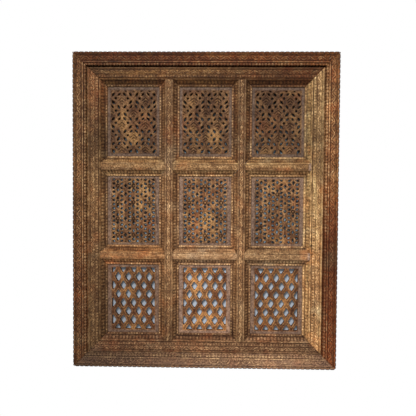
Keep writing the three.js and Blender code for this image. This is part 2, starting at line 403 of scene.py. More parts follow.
def bead_row(across, along, middle, half, pitch, depth):
    """A row of pale long beads with dark nicks between them, as (change of depth, darkening:
    painted shade in the nicks, lighter on the beads).
    """
    bead = oval(from_nearest(along, pitch), across - middle, pitch * 0.37, half)
    row = window(across, middle - half, middle + half)
    return row * depth * (bead - 1), row * (0.50 - 0.70 * bead)


def slope_carving(from_lip, along, slope_pitch, slope_depth, lip_depth):
    """Beads on an opening's lip and up its sloped moulding, as (change of depth, darkening: painted
    shade between the beads, lighter on them).
    """
    cut, darkening = bead_row(from_lip, along, 4.2, 4.4, LIP_BEAD_PITCH, lip_depth)
    bead = oval(from_nearest(along, slope_pitch), from_lip - 19, slope_pitch * 0.40, 8.2)
    row = window(from_lip, 11.5, 26.5)
    return cut + row * slope_depth * (bead - 1), darkening + row * (0.40 - 0.5 * bead)


def mitre_soil(from_edge, along, spans):
    """Dirt in the mitres that end the sloped mouldings at each opening."""
    reach = np.minimum(from_edge, SLOPE)
    gap = np.full(from_edge.shape, 99.0)
    for start, end in spans:
        ends = np.minimum(np.abs(along - start + reach), np.abs(along - end - reach))
        gap = np.minimum(gap, ends)
    return 0.85 * (1 - smooth(gap, 1.0, 4.6))


def nail_holes(across, along, places):
    """Round holes at (across, along, radius) with a dark stain round each, as (depth, dirt)."""
    depth, darkening = np.zeros(across.shape), np.zeros(across.shape)
    for a, s, radius in places:
        gap = np.hypot(across - a, (along - s) * 0.8)
        depth = np.maximum(depth, 1 - smooth(gap, radius - 1, radius + 0.5))
        darkening = np.maximum(darkening, 1 - smooth(gap, radius, 2.6 * radius))
    return 5.0 * depth, darkening


def outer_carving(side, seed, sizes):
    """The ornament of an outer frame board, as (widening, change of depth, darkening by dirt and
    painted shade).
    """
    depth = sizes.band_depth / MM
    nick_pitch = sizes.edge_nick_pitch / MM
    pitch = sizes.outer_vine_pitch / MM
    groove_depth = 22 if side in ("top", "right") else 14

    def carve(across, along):
        along = along + wander(seed, along)
        nick = np.exp(-((from_nearest(along, nick_pitch) / 2.3) ** 2))
        edge = 1 - smooth(across, 6.5, 9)
        cut = -2.8 * nick * edge
        from_tip = from_nearest(along + nick_pitch / 2, nick_pitch) / (nick_pitch / 2)
        cut -= 0.8 * edge * from_tip**2
        if side == "bottom":
            kept = 0.55 + 0.25 * np.sin(along / 83.0)
            cut += kept * arch_band(across - 29, along, 13.5, 48.0, depth)
        else:
            cut += vine_band(across - 29, along, 13.5, pitch, 6.5, depth)
        beads, darkening = bead_row(across, along, 54.5, 4.0, OUTER_BEAD_PITCH, 2.6)
        cut += beads
        scallop = oval(from_nearest(along, OUTER_BEAD_PITCH), 0, 7.4, 1)
        cut -= groove_depth * smooth(across - (57.8 + 3.8 * scallop), -0.6, 1.2)
        # Dirt and painted shade in the two grooves, on the outer fillet and in the edge nicks
        darkening = darkening + 0.55 * window(across, 10, 14.5) + 0.5 * window(across, 48.5, 51.0)
        darkening = darkening + 0.2 * window(across, 3, 9) + 0.6 * nick * edge
        return 1.8 * nick * (1 - smooth(across, 0, 4)), cut, darkening

    return carve


def inner_carving(side, seed, sizes, spans):
    """The ornament of an inner frame member, as (widening, change of depth, darkening by dirt and
    painted shade).
    """
    depth = sizes.band_depth / MM
    pitch = sizes.inner_vine_pitch / MM
    plain = 0.75 if side == "right" else 1.0
    fill = 5.0 if side in ("left", "bottom") else 0.0

    def carve(across, along):
        darkening = mitre_soil(INNER_BOARD - across, along, spans) * (across > INNER_BOARD - SLOPE)
        hole = 0.0
        if side == "right":
            hole, dark_marks = nail_holes(across, along, JAMB_HOLES)
            darkening = np.maximum(darkening, dark_marks)
        along = along + wander(seed, along)
        cut = vine_band(across - 22.5, along, 12.5, pitch, 5.5, depth) * plain - hole
        cut += fill * (across < 3.1)
        nick = np.exp(-((from_nearest(along, 12.5) / 2.6) ** 2))
        cut -= 1.9 * window(across, 38, 46) * nick
        slope, dark = slope_carving(INNER_BOARD - across, along, 15.5, 1.6 * plain, 2.2)
        # Less painted shade between the beads on the right jamb, whose slope faces the light
        cut, darkening = cut + slope, darkening + dark * (0.6 if side == "right" else 1.0)
        # Dirt and painted shade in the grooves and nicks, painted shade on the fillet beside the
        # step up to the outer board, and the band a little lighter
        darkening = darkening + 0.5 * window(across, 47.5, 52) + 0.3 * window(across, 75.5, 78.5)
        darkening = darkening + 0.45 * window(across, 2.9, 8)
        darkening = darkening + 0.7 * nick * window(across, 38, 46) - 0.15 * window(across, 10, 35)
        # Painted shade on the top member's slope, which faces down
        darkening = darkening + 0.35 * (side == "top") * window(across, 55, 76)
        return 0.0, cut, darkening

    return carve


def mullion_carving(seed, sizes):
    """The ornament of a mullion, as (widening, change of depth, darkening by dirt and painted
    shade).
    """
    depth = sizes.band_depth / MM
    pitch = sizes.mullion_vine_pitch / MM

    def carve(across, along):
        from_edge = np.minimum(across, MULLION - across)
        darkening = mitre_soil(from_edge, along, ROW_SPANS) * (from_edge < SLOPE)
        along = along + wander(seed, along)
        cut = vine_band(across - 46.5, along, 10.8, pitch, 4.6, depth)
        slopes = (across, 12.0, 1.0), (MULLION - across, 13.5, 1.6)
        for from_lip, slope_pitch, slope_depth in slopes:
            slope, dark = slope_carving(from_lip, along, slope_pitch, slope_depth, 2.2)
            cut, darkening = cut + slope, darkening + dark
        # Dirt and painted shade in the groove behind each lip and at the shoulders; the band a
        # little lighter
        darkening = darkening + 0.4 * window(from_edge, 9, 12.5)
        darkening = darkening + 0.35 * window(from_edge, 30.5, 36) - 0.20 * window(from_edge, 36.5, 60)
        return 0.0, cut, darkening

    return carve


def transom_carving(row, seed, sizes, span):
    """The ornament of a transom, as (widening, change of depth, darkening by dirt and painted
    shade).
    """
    depth = sizes.band_depth / MM
    pitch = sizes.ring_pitch / MM
    plain = 0.45 if row == "lower" else 0.8

    def carve(across, along):
        from_edge = np.minimum(across, TRANSOM - across)
        darkening = mitre_soil(from_edge, along, [span])
        along = along + wander(seed, along)
        cut = plain * ring_band(across - 45.5, along, 10.2, pitch, depth)
        slopes = (across, 10.5, 0.9), (TRANSOM - across, 14.0, 1.7)
        for from_lip, slope_pitch, slope_depth in slopes:
            slope, dark = slope_carving(from_lip, along, slope_pitch, slope_depth, 2.0)
            # The upper slope faces up and gets half the painted shade between its beads
            cut, darkening = cut + slope, darkening + dark * (0.5 if slope_depth < 1 else 1.0)
        # Dirt and painted shade in the groove behind each lip and beside the band; the band a
        # little lighter
        darkening = darkening + 0.4 * window(from_edge, 9, 12.5) - 0.25 * window(from_edge, 35.5, 60)
        darkening = darkening + 0.6 * window(across, 32.5, 35.0) + 0.6 * window(across, 56.0, 58.5)
        return 0.0, cut, darkening

    return carve


# ---------------------------------------------------------------- outlines


def mitred_edge(spans):
    """A member's edge along its openings, as (along, reach into the opening's moulding)."""
    points = []
    for start, end in spans:
        points += [
            (start - SLOPE + JOINT_GAP, 0), (start + JOINT_GAP, SLOPE),
            (end - JOINT_GAP, SLOPE), (end + SLOPE - JOINT_GAP, 0),
        ]
    return points


def board_outline(start, end, worn_start, worn_end):
    """An outer board, as (along, across), with its corners worn off by some millimetres."""
    reach = OUTER_BOARD + JOINT_GAP
    worn_corners = [
        [(c + s * (w + JOINT_GAP), w), (c + s * (2.2 * w + JOINT_GAP), 0)]
        for c, w, s in ((start, worn_start, 1), (end, worn_end, -1))
    ]
    inner_edge = [(start + reach, OUTER_BOARD), (end - reach, OUTER_BOARD)]
    return worn_corners[0][::-1] + inner_edge + worn_corners[1]


def frame_outline(start, end, spans):
    """An inner frame member, as (along, across from the outer edge of the window)."""
    inner = [(along, BORDER - SLOPE + reach) for along, reach in mitred_edge(spans)[1:-1]]
    ends = OUTER_BOARD + JOINT_GAP
    return [(start + ends, OUTER_BOARD)] + inner + [(end - ends, OUTER_BOARD)]


def bar_outline(spans, width):
    """A mullion or transom, as (along, across from its middle)."""
    edge = [(along, width / 2 - SLOPE + reach) for along, reach in mitred_edge(spans)]
    return edge + [(along, -across) for along, across in reversed(edge)]


# ---------------------------------------------------------------- mesh making


def deselect_all():
    """Deselects every object, so that an operator acts on nothing else."""
    bpy.ops.object.select_all(action="DESELECT")


def only(piece):
    """Selects one object and makes it active."""
    deselect_all()
    piece.select_set(True)
    bpy.context.view_layer.objects.active = piece


def turn_faces_outwards():
    """Selects the whole of the mesh being edited and makes its faces look outwards."""
    bpy.ops.mesh.select_all(action="SELECT")
    bpy.ops.mesh.normals_make_consistent(inside=False)


def coordinates(mesh):
    """The places of the vertices of a mesh, in metres."""
    points = np.zeros(len(mesh.vertices) * 3)
    mesh.vertices.foreach_get("co", points)
    return points.reshape(-1, 3)


def place_vertices(mesh, points):
    mesh.vertices.foreach_set("co", np.ascontiguousarray(points, dtype=np.float64).ravel())
    mesh.update()


def paint(mesh, name, values):
    """Stores a number for each vertex, for the wood to read."""
    layer = mesh.attributes.get(name) or mesh.attributes.new(name, "FLOAT", "POINT")
    layer.data.foreach_set("value", np.broadcast_to(values, len(mesh.vertices)).astype(np.float32))


def painted(mesh, name):
    """Reads back the number stored for each vertex."""
    values = np.zeros(len(mesh.vertices))
    mesh.attributes[name].data.foreach_get("value", values)
    return values


def grid(name, columns, rows):
    """A flat grid to be shaped, with its columns counted first."""
    deselect_all()
    bpy.ops.mesh.primitive_grid_add(
        x_subdivisions=columns, y_subdivisions=rows, size=1, calc_uvs=False
    )
    piece = bpy.context.object
    piece.name = piece.data.name = name
    return piece


def blurred(height, reach, wrap):
    """A box blur over both axes of a height field."""
    for axis, close in ((0, False), (1, wrap)):
        pad = [(0, 0), (0, 0)]
        pad[axis] = (reach + 1, reach)
        total = np.cumsum(np.pad(height, pad, mode="wrap" if close else "edge"), axis=axis)
        width = 2 * reach + 1
        upper = np.take(total, range(width, total.shape[axis]), axis=axis)
        lower = np.take(total, range(0, total.shape[axis] - width), axis=axis)
        height = (upper - lower) / width
    return height


def dirt_shade_and_wear(height, wrap=False):
    """Dirt and painted shade where a height field lies below its surroundings and wear where it
    stands above them.
    """
    stand = height - blurred(blurred(height, BLUR_REACH, wrap), BLUR_REACH, wrap)
    return np.clip(-stand / 1.15, 0, 1), np.clip(stand / 1.5, 0, 1)


def loop_points(profile, fine, coarse):
    """Points round a closed profile, close together on the face and far apart elsewhere."""
    points = []
    for (a0, d0), (a1, d1) in zip(profile, profile[1:] + profile[:1]):
        face = min(d0, d1) > PANEL_FRONT
        length = math.hypot(a1 - a0, d1 - d0)
        wall = abs(a1 - a0) < 0.5
        steps = max(1, round(length / (fine if face and not wall else coarse)))
        points += [
            (a0 + (a1 - a0) * i / steps, d0 + (d1 - d0) * i / steps) for i in range(steps)
        ]
    return np.array(points)


def carved_bar(name, profile, start, end, place, carve, step, rim_shade=0.0):
    """A bar of a closed profile, with its carving, from start to end along its length."""
    loop = loop_points(profile, 2.1, 40.0)
    count = max(2, round((end - start) / step))
    piece = grid(name, len(loop), count)
    around = np.vstack([loop, loop[:1]])
    across, along = np.meshgrid(around[:, 0], np.linspace(start, end, count + 1))
    depth = np.broadcast_to(around[:, 1], across.shape)
    shift, cut, darkening = carve(across, along)
    face = depth > PANEL_FRONT + 1
    depth = depth + np.where(face, cut, 0)
    across = across + np.where(depth > 30, shift, 0)
    dirt_and_shade, wear = dirt_shade_and_wear(np.where(face, depth, PANEL_FRONT)[:, :-1], True)
    # The sides and back are made darker, away from the carved face
    hidden = ~face[:, :-1]
    dirt_and_shade, wear = np.where(hidden, 0.35, dirt_and_shade), np.where(hidden, 0.0, wear)
    # The carving's darkening, dirt and painted shade, is added; its negative part adds wear
    darkening = darkening[:, :-1] * face[:, :-1]
    wear = np.clip(wear * np.clip(1 - darkening, 0, 1) - np.minimum(darkening, 0), 0, 1)
    dirt_and_shade = np.clip(dirt_and_shade + darkening, 0, 1)
    # Painted shade along the outer rim, where one is asked for
    if rim_shade:
        rim = 1 - smooth(across[:, :-1], 4.2, 6.8)
        dirt_and_shade, wear = np.maximum(dirt_and_shade, rim_shade * rim), wear * (1 - rim)
    points = place(across.ravel(), depth.ravel(), along.ravel())
    place_vertices(piece.data, np.stack(points, axis=1) * MM)
    for name, field in (("dirt_and_shade", dirt_and_shade), ("wear", wear)):
        paint(piece.data, name, np.hstack([field, field[:, :1]]).ravel())
    bpy.ops.object.mode_set(mode="EDIT")
    bpy.ops.mesh.select_mode(type="VERT")
    bpy.ops.mesh.select_all(action="SELECT")
    bpy.ops.mesh.remove_doubles(threshold=1e-6)
    bpy.ops.mesh.select_all(action="DESELECT")
    bpy.ops.mesh.select_non_manifold()
    bpy.ops.mesh.edge_face_add()
    turn_faces_outwards()
    bpy.ops.object.mode_set(mode="OBJECT")
    return piece


def cut_to_outline(piece, outline):
    """Keeps the part of a bar inside an outline of (x, z), sawn square to the face."""
    deselect_all()
    bpy.ops.mesh.primitive_circle_add(vertices=len(outline), fill_type="NGON")
    guide = bpy.context.object
    points = np.array([(x, -CUTTER_BACK, z) for x, z in outline])
    place_vertices(guide.data, points * MM)
    bpy.ops.object.mode_set(mode="EDIT")
    bpy.ops.mesh.select_all(action="SELECT")
    reach = (CUTTER_BACK - CUTTER_FRONT) * MM
    bpy.ops.mesh.extrude_region_move(TRANSFORM_OT_translate={"value": (0, reach, 0)})
    turn_faces_outwards()
    bpy.ops.object.mode_set(mode="OBJECT")
    only(piece)
    saw = piece.modifiers.new("sawn outline", "BOOLEAN")
    saw.operation, saw.solver, saw.object = "INTERSECT", "MANIFOLD", guide
    bpy.ops.object.modifier_apply(modifier=saw.name)
    mesh = guide.data
    bpy.data.objects.remove(guide)
    bpy.data.meshes.remove(mesh)


def fade(piece, axis, tones):
    """Tones that change evenly from one end of a piece to the other."""
    places = coordinates(piece.data)[:, axis]
    return np.interp(places, np.linspace(places.min(), places.max(), len(tones)), tones)


def finish_piece(piece, node, material, tone=1.0, grey=0.0, red=0.0):
    """Gives a piece its wood and its place in the frame."""
    only(piece)
    bpy.ops.object.shade_smooth_by_angle(angle=math.radians(38))
    for name, values in (("tone", tone), ("grey", grey), ("red", red)):
        paint(piece.data, name, values)
    piece.data.materials.clear()
    piece.data.materials.append(material)
    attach(piece, "root")
    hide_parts(node)
    deselect_all()


# ---------------------------------------------------------------- wood


class Wiring:
    """Short ways to add and join the nodes of one material."""

    def __init__(self, tree):
        self.tree = tree

    def add(self, kind, **values):
        node = self.tree.nodes.new(kind)
        for name, value in values.items():
            setattr(node, name, value)
        return node

    def join(self, source, target):
        self.tree.links.new(source, target)

    def attribute(self, name):
        return self.add("ShaderNodeAttribute", attribute_name=name).outputs["Fac"]

    def noise(self, vector, scale, detail, roughness, distortion=0.0):
        node = self.add("ShaderNodeTexNoise")
        self.join(vector, node.inputs["Vector"])
        names = ("Scale", "Detail", "Roughness", "Distortion")
        for name, value in zip(names, (scale, detail, roughness, distortion)):
            node.inputs[name].default_value = value
        return node.outputs["Fac"]

    def remap(self, value, low, high, new_low, new_high):
        node = self.add("ShaderNodeMapRange", clamp=True)
        self.join(value, node.inputs["Value"])
        numbers = zip(("From Min", "From Max", "To Min", "To Max"), (low, high, new_low, new_high))
        for name, number in numbers:
            node.inputs[name].default_value = number
        return node.outputs["Result"]

    def calc(self, operation, first, second, clamp=False):
        node = self.add("ShaderNodeMath", operation=operation, use_clamp=clamp)
        for socket, value in zip(node.inputs, (first, second)):
            if isinstance(value, (int, float)):
                socket.default_value = value
            else:
                self.join(value, socket)
        return node.outputs[0]

    def mix(self, factor, first, second, blend="MIX"):
        """A mix of two colours; a colour or factor is a value, or the output of a node."""
        node = self.add("ShaderNodeMix", data_type="RGBA", blend_type=blend)
        sockets = {s.identifier: s for s in node.inputs}
        for name, value in (("Factor_Float", factor), ("A_Color", first), ("B_Color", second)):
            if isinstance(value, (int, float)):
                sockets[name].default_value = value
            elif isinstance(value, tuple):
                sockets[name].default_value = (*value, 1.0)
            else:
                self.join(value, sockets[name])
        return next(s for s in node.outputs if s.identifier == "Result_Color")


    def blended(self, factor, first, second):
        """A blend of two shaders."""
        node = self.add("ShaderNodeMixShader")
        for socket, source in zip(node.inputs, (factor, first, second)):
            self.join(source, socket)
        return node.outputs[0]


def ramp(w, value, stops):
    """A colour ramp through (place, colour) stops."""
    node = w.add("ShaderNodeValToRGB")
    w.join(value, node.inputs["Fac"])
    elements = node.color_ramp.elements
    while len(elements) < len(stops):
        elements.new(0.5)
    for element, (place, color) in zip(elements, stops):
        element.position, element.color = place, (*color, 1.0)
    return node.outputs["Color"]


def multiplied(w, wood, value, stops):
    """The wood made darker or lighter by a ramp of another value."""
    return w.mix(1.0, wood, ramp(w, value, stops), "MULTIPLY")


def clean_wood(w, place, grained, mottling, fibre, warm):
    """The colour of the wood before any wear or dirt."""
    colors = bpy.context.scene.jali_wood
    figure = w.noise(grained, 46.0, 5.0, 0.62, 0.6)
    tones = zip((0.34, 0.52, 0.70), (colors.dark, colors.middle, colors.light))
    wood = ramp(w, figure, [(stop, tuple(color)) for stop, color in tones])
    wood = multiplied(w, wood, fibre, ((0.36, (0.62, 0.58, 0.55)), (0.60, (1.12, 1.10, 1.08))))
    patch = w.noise(place, 5.5, 3.0, 0.6)
    wood = multiplied(w, wood, patch, ((0.34, (0.86, 0.83, 0.81)), (0.64, (1.13, 1.12, 1.08))))
    redness = w.remap(w.noise(place, 11.0, 2.0, 0.5), 0.52, 0.70, 0.0, 0.35)
    reddened = w.calc("ADD", w.attribute("red"), redness, True)
    wood = w.mix(reddened, wood, tuple(colors.red))
    dusty = w.remap(w.noise(place, 8.0, 3.0, 0.6), 0.55, 0.70, 0.0, 0.15 if warm else 0.45)
    wood = w.mix(dusty, wood, tuple(colors.dust))
    wood = multiplied(w, wood, mottling, ((0.36, (0.80, 0.74, 0.70)), (0.64, (1.16, 1.17, 1.14))))
    if warm:
        rubbed = w.remap(w.noise(place, 17.0, 3.0, 0.6), 0.50, 0.66, 0.0, warm)
        wood = w.mix(rubbed, wood, tuple(colors.orange))
        patches = w.calc("MULTIPLY", w.attribute("rubbed"), 0.8, True)
        wood = w.mix(patches, wood, tuple(colors.orange))
    return wood


def teak(name, grain, tint, dirt_and_shade_strength, wearing, warm=0.0):
    """Weathered teak with its grain along X or Z, dirt and painted shade in its recesses and worn
    edges.
    """
    if name in bpy.data.materials:
        return bpy.data.materials[name]
    colors = bpy.context.scene.jali_wood
    dark = tuple(colors.dirt_and_shade)
    material = bpy.data.materials.new(name)
    material.use_nodes = True
    w = Wiring(material.node_tree)
    shader = material.node_tree.nodes["Principled BSDF"]
    place = w.add("ShaderNodeTexCoord").outputs["Object"]
    stretched = w.add("ShaderNodeMapping")
    stretched.inputs["Scale"].default_value = (0.06, 1, 1) if grain == "X" else (1, 1, 0.06)
    w.join(place, stretched.inputs["Vector"])
    grained = stretched.outputs["Vector"]
    fibre = w.noise(grained, 480.0, 2.0, 0.6)
    mottling = w.noise(place, 31.0, 2.0, 0.55)
    spots = w.noise(place, 95.0, 3.0, 0.65)

    wood = clean_wood(w, place, grained, mottling, fibre, warm)
    wood = w.mix(1.0, wood, tint, "MULTIPLY")
    wood = w.mix(w.attribute("grey"), wood, tuple(colors.grey))
    blotches = w.remap(mottling, 0.42, 0.58, 0.35, 1.0)
    broken = w.calc("MULTIPLY", w.remap(spots, 0.40, 0.60, 0.05, wearing), blotches)
    wood = w.mix(w.calc("MULTIPLY", w.attribute("wear"), broken, True), wood, tuple(colors.worn))
    # Dirt and painted shade darken the recesses marked on the mesh
    grime_and_shade = w.remap(spots, 0.34, 0.62, 0.50 * dirt_and_shade_strength, dirt_and_shade_strength)
    wood = w.mix(w.calc("MULTIPLY", w.attribute("dirt_and_shade"), grime_and_shade, True), wood, dark)
    tooling = w.noise(place, 115.0, 4.0, 0.75)
    wood = multiplied(w, wood, tooling, ((0.39, (0.52, 0.46, 0.43)), (0.61, (1.40, 1.39, 1.37))))
    cracks = w.noise(grained, 130.0, 3.0, 0.6, 0.4)
    wood = w.mix(w.remap(cracks, 0.63, 0.69, 0.0, 0.75), wood, dark)
    speckle = w.noise(place, 240.0, 2.0, 0.7)
    wood = w.mix(w.remap(speckle, 0.60, 0.70, 0.0, 0.7), wood, dark)
    tone = w.add("ShaderNodeVectorMath", operation="SCALE")
    w.join(wood, tone.inputs[0])
    w.join(w.attribute("tone"), tone.inputs["Scale"])
    w.join(tone.outputs[0], shader.inputs["Base Color"])

    rough = w.remap(spots, 0.3, 0.7, colors.roughness - 0.10, colors.roughness + 0.14)
    dull = w.calc("MULTIPLY", w.attribute("dirt_and_shade"), 0.12)
    w.join(w.calc("ADD", rough, dull, True), shader.inputs["Roughness"])
    shader.inputs["Specular IOR Level"].default_value = 0.12
    bump = w.add("ShaderNodeBump")
    bump.inputs["Strength"].default_value = 0.5
    bump.inputs["Distance"].default_value = 0.0008
    w.join(w.calc("ADD", fibre, w.calc("MULTIPLY", spots, 1.6)), bump.inputs["Height"])
    w.join(bump.outputs["Normal"], shader.inputs["Normal"])
    return material


# ---------------------------------------------------------------- pierced panels


class Hole:
    """A hole with its middle, half sizes, lean, and a power from 1, a lozenge, to 2, an ellipse."""

    def __init__(self, x, z, half_x, half_z, lean, power):
        self.x, self.z, self.half_x, self.half_z = x, z, half_x, half_z
        self.lean, self.power = lean, power

    def shaken(self, random, shift, grow, turn):
        """The same hole cut by hand, a little out of place, size and line."""
        a, b, c, d, e = random.uniform(-1, 1, 5)
        half_x, half_z = self.half_x * (1 + grow * c), self.half_z * (1 + grow * d)
        middle = self.x + shift * a, self.z + shift * b
        return Hole(*middle, half_x, half_z, self.lean + turn * e, self.power)

    def distance(self, x, z):
        """Distance from the hole's edge, below 0 inside it."""
        c, s = math.cos(self.lean), math.sin(self.lean)
        across = np.abs(c * (x - self.x) + s * (z - self.z)) / self.half_x + 1e-6
        along = np.abs(c * (z - self.z) - s * (x - self.x)) / self.half_z + 1e-6
        size = (across**self.power + along**self.power) ** (1 / self.power)
        rate_across = (across / size) ** (self.power - 1) / self.half_x
        rate_along = (along / size) ** (self.power - 1) / self.half_z
        return (size - 1) / np.hypot(rate_across, rate_along)


def past_field(x, z, field):
    """Distance outside the pierced field of a panel, below 0 inside it."""
    return np.maximum(np.abs(x) - field[0], np.abs(z) - field[1])


def nearest_hole(holes, x, z, field):
    """Distance from the nearest hole's edge, where every hole stops at the edge of the field."""
    result = np.full(x.shape, FAR_FROM_HOLES)
    for hole in holes:
        reach = max(hole.half_x, hole.half_z) + 14
        near = (np.abs(x - hole.x) < reach) & (np.abs(z - hole.z) < reach)
        result[near] = np.minimum(result[near], hole.distance(x[near], z[near]))
    return np.maximum(result, past_field(x, z, field))


def crossing_ends(distance, close):
    """Marks grid points that are close to an edge, or the nearer end of a grid line across it."""
    marked = np.abs(distance) < close
    for first, second in ((np.s_[:-1], np.s_[1:]), (np.s_[:, :-1], np.s_[:, 1:])):
        a, b = distance[first], distance[second]
        crossing = a * b < 0
        nearer = np.abs(a) <= np.abs(b)
        marked[first] |= crossing & nearer
        marked[second] |= crossing & ~nearer
    return marked


def select_only(mesh, kind, chosen):
    """Selects some of the vertices or faces of a mesh, for the next edit."""
    bpy.context.tool_settings.mesh_select_mode = (kind == "vertices", False, kind == "polygons")
    for name in ("vertices", "edges", "polygons"):
        elements = getattr(mesh, name)
        flags = chosen if name == kind else np.zeros(len(elements), bool)
        elements.foreach_set("select", flags)


def take_out_holes(mesh, middle, holes, field):
    """Splits faces along the edges of the holes, takes out what lies inside, and tiles the rest."""
    from_hole = painted(mesh, "from_hole")
    select_only(mesh, "vertices", from_hole == 0)
    bpy.ops.object.mode_set(mode="EDIT")
    bpy.ops.mesh.vert_connect()
    bpy.ops.object.mode_set(mode="OBJECT")
    points = coordinates(mesh) / MM
    faces = [list(face.vertices) for face in mesh.polygons]
    nearest = np.array([from_hole[face].min() for face in faces])
    farthest = np.array([from_hole[face].max() for face in faces])
    middles = np.array([points[face].mean(axis=0) for face in faces])
    x, _, z = (middles - middle).T
    inside = nearest_hole(holes, x, z, field) < 0.02
    tiles = np.floor(middles / BACK_TILE).sum(axis=1) % 2
    mesh.polygons.foreach_set("material_index", tiles.astype(np.int32))
    select_only(mesh, "polygons", (nearest < 0) | ((farthest == 0) & inside))
    bpy.ops.object.mode_set(mode="EDIT")
    bpy.ops.mesh.delete(type="FACE")
    bpy.ops.object.mode_set(mode="OBJECT")


def net_holes(column, sizes, random):
    """Lozenges in rows that step half a pitch, as in a net."""
    pitch = sizes.net_pitch / MM
    row_step = pitch * 0.844
    start = 1 if column == "right" else 0
    holes = []
    for row in range(8):
        places = np.arange(-1.5, 2) if (row + start) % 2 else np.arange(-2, 3)
        z = (3.5 - row) * row_step
        holes += [Hole(place * pitch, z, 13.6, 20.8, 0, 1.15) for place in places]
    return [hole.shaken(random, 0.9, 0.07, 0.05) for hole in holes]


def strap_nodes(sizes):
    """The nodes of the top lattice, as (x, z, whether straps cross there)."""
    pitch = sizes.strap_pitch / MM
    row_step = pitch * 1.031
    places = ((i, k) for k in range(-1, 6) for i in range(-2, 3))
    return [(i * pitch, 107 - k * row_step, (i + k) % 2 == 0) for i, k in places]


def strap_holes(column, sizes, random):
    """Four slots round every crossing, two in a roof over every medallion and dots between them."""
    pitch = sizes.strap_pitch / MM
    holes = []
    for x, z, crossing in strap_nodes(sizes):
        if crossing:
            for a, b in ((-1, -1), (-1, 1), (1, -1), (1, 1)):
                size = 1.12 if b < 0 else 1.0
                middle = x + a * 14.7, z + b * 17.5
                holes.append(Hole(*middle, 4.4 * size, 8.8 * size, -a * b * 0.65, 1.45))
            holes += [Hole(x + a * pitch / 2, z, 4.6, 4.8, 0, 1.7) for a in (-1, 1)]
        else:
            holes += [Hole(x + a * 11.8, z + 18.0, 3.9, 8.0, a * 0.72, 1.45) for a in (-1, 1)]
    return [hole.shaken(random, 0.8, 0.09, 0.10) for hole in holes]


def star_holes(column, sizes, random):
    """One hole in the middle of every lozenge of a star lattice, except at the studs."""
    step = sizes.star_pitch / MM
    across = step * STAR_WIDTH
    slant = math.atan2(step / 2, across)
    holes = []
    for i in range(-2, 3):
        shift = 0.5 if i % 2 == 0 else 0.0
        for k in range(-4, 5):
            holes.append(Hole(i * across, (k + shift) * step, 5.3, 8.0, 0, 1.35))
    for i in range(-3, 3):
        for k in range(-8, 8):
            lean = -slant if (i + k) % 2 else slant
            holes.append(Hole((i + 0.5) * across, (k + 0.5) * step / 2, 7.1, 5.0, lean, 1.35))
    holes = [hole.shaken(random, 0.6, 0.08, 0.10) for hole in holes]
    studs = stud_places(column, step)
    return [h for h in holes if all(math.hypot(h.x - x, h.z - z) > 6 for x, z in studs)]


def stud_places(column, step):
    """The middles of the studs on a middle panel."""
    across = 2 * step * STAR_WIDTH
    if column == "right":
        return [(0, 78.0), (-across, 0), (across, 0), (-across - 3, -76.0)]
    return [(i * across, k * step) for i in (-1, 0, 1) for k in (-3, -1, 1, 3)]


def rounded_edges(from_hole, sizes, reach, share):
    """The fall of the face towards the holes, within a reach of their edges."""
    t = np.clip(from_hole / reach, 0, 1)
    return -share * sizes.edge_rounding / MM * (1 - t) ** 2


def net_relief(x, z, from_hole, sizes, column):
    """Rounded bars round every hole, with a groove along the middle of the wood between them and
    painted shade in that groove.
    """
    cut = rounded_edges(from_hole, sizes, 4.5, 0.8)
    groove = smooth(from_hole, 4.6, 6.4)
    return cut - 1.3 * groove, 0.5 * groove


def strap_relief(x, z, from_hole, sizes, column):
    """Leaf medallions with nested chevrons, and straps between the slots."""
    cut = rounded_edges(from_hole, sizes, 4.5, 0.8)
    dark_marks = np.zeros_like(x)
    for cx, cz, crossing in strap_nodes(sizes):
        dx, dz = np.abs(x - cx), z - cz
        if crossing:
            line = np.abs(dx - np.abs(dz) * 0.84)
            spoke = window(np.hypot(dx, dz), 2, 10) * (1 - smooth(line, 1.2, 2.6))
            cut = cut - 1.2 * spoke * (from_hole > 0)
            continue
        out = dx / 21 + np.abs(dz + 8) / 27
        leaf = 1 - smooth(out, 0.82, 1.0)
        chevron = 0.5 - 0.5 * np.cos(2 * math.pi * (dz + 0.85 * dx - 9) / 13.0)
        cut = cut - 2.8 * leaf * chevron
        # Painted shade in the grooves of the chevrons
        dark_marks = np.maximum(dark_marks, 0.8 * leaf * smooth(chevron, 0.45, 0.8))
        cut = cut + 1.2 * leaf * (1 - smooth(dx, 1.0, 2.4))
        outline = np.abs(out - 1.02) * 13
        cut = cut - 0.8 * (1 - smooth(outline, 0.9, 2.2)) * (from_hole > 1.5)
    return cut, dark_marks


def star_relief(x, z, from_hole, sizes, column):
    """Thin bars with rounded edges, and studs carved at some of the nodes."""
    cut = rounded_edges(from_hole, sizes, 4.0, 0.75)
    dark_marks = np.zeros_like(x)
    for cx, cz in stud_places(column, sizes.star_pitch / MM):
        r = np.hypot(x - cx, z - cz)
        near = 1 - smooth(r, 9.0, 10.2)
        stud = 1.8 * oval(r, 0, 9.4, 1) - 3.6 * window(r, 4.4, 7.8, 0.9)
        cut = cut * (1 - near) + near * stud
        # Painted shade in the ring round each stud, and a negative mark on its middle that is
        # painted light
        dark_marks = np.maximum(dark_marks, window(r, 4.4, 9.6, 0.8)) - 2.0 * (1 - smooth(r, 3.0, 4.2))
    return cut, dark_marks


PATTERNS = {  # holes, relief and half the width and height of the pierced field
    "top": (strap_holes, strap_relief, (104.0, 142.0)),
    "middle": (star_holes, star_relief, (99.0, 146.0)),
    "bottom": (net_holes, net_relief, (98.5, 143.5)),
}


